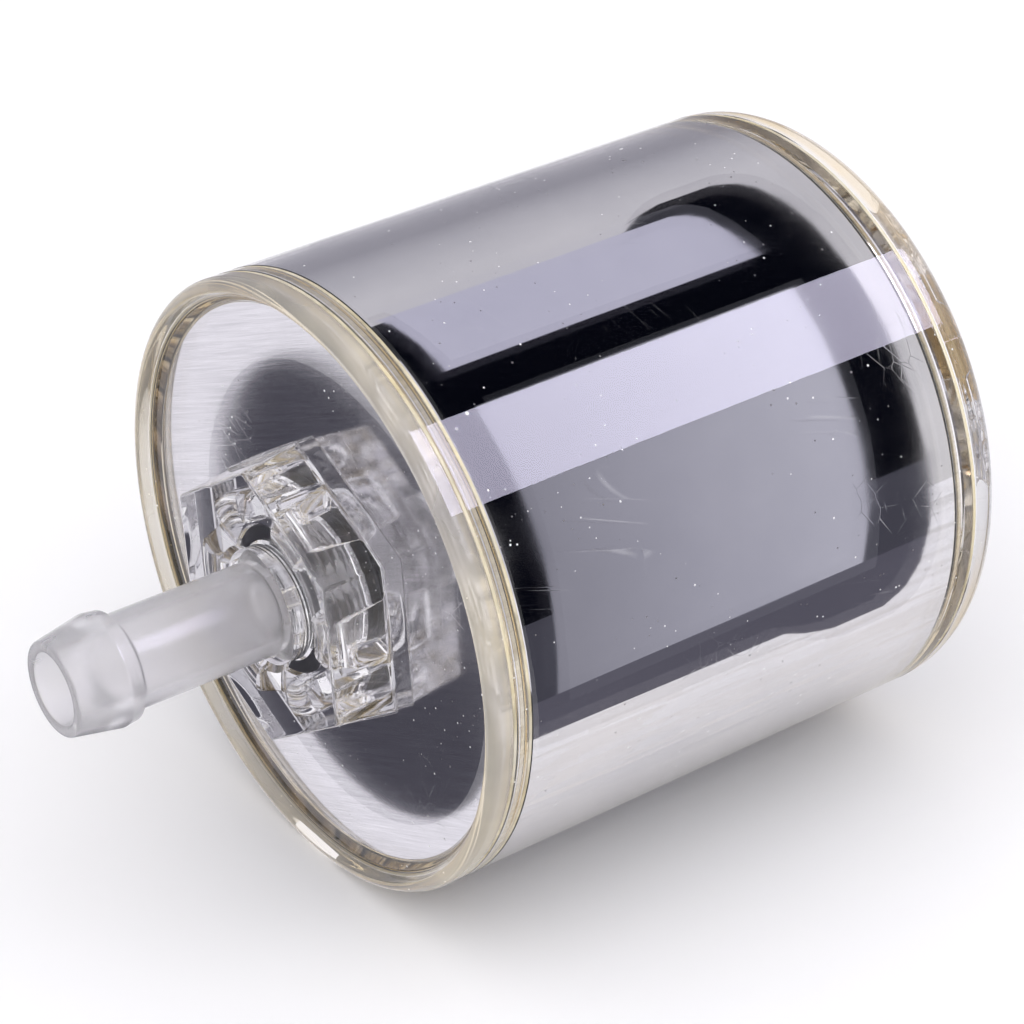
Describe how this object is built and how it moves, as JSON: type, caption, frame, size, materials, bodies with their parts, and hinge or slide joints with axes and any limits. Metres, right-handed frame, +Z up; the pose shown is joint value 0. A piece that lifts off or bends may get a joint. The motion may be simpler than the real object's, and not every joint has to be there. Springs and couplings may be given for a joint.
{
  "type": "in-line fuel filter",
  "caption": "Squat clear cylinder round a polished metal canister, with a hexagonal boss at each end, a hose barb at the inlet and a threaded outlet port.",
  "frame": {"origin": "on the surface the filter lies on, under the middle of its length", "axes": "+X along the housing's axis from the inlet barb to the outlet port, +Z up"},
  "size_m": [0.0836, 0.0548, 0.0549],
  "materials": {
    "clear_plastic": "clear, glossy, a little yellowed at its edges",
    "aged_adhesive": "yellowed film",
    "polished_metal": "mirror polish with fine turned grain",
    "brushed_metal": "straight brushed grain",
    "natural_nylon": "milky, translucent, satin",
    "brass": "turned",
    "seal_rubber": "matt",
    "zinc_plate": "zinc plated",
    "plastisol": "matt potting",
    "filter_paper": "resin-treated paper"
  },
  "bodies": {
    "root": {"front_cap": "clear_plastic", "front_ring": "clear_plastic", "outer_sleeve": "clear_plastic", "rear_cap": "clear_plastic", "front_outer_bond": "aged_adhesive", "front_inner_bond": "aged_adhesive", "rear_bond": "aged_adhesive", "canister_shell": "polished_metal", "front_end_disc": "brushed_metal", "rear_end_disc": "brushed_metal", "inlet_barb": "natural_nylon", "inlet_seal": "seal_rubber", "outlet_bushing": "brass", "outlet_seal": "seal_rubber", "element_front_cap": "zinc_plate", "element_rear_cap": "zinc_plate", "element_grommet": "seal_rubber", "front_potting": "plastisol", "rear_potting": "plastisol", "filter_media": "filter_paper", "centre_tube": "zinc_plate", "spring_seat": "zinc_plate", "element_spring": "zinc_plate"}
  },
  "joints": []
}
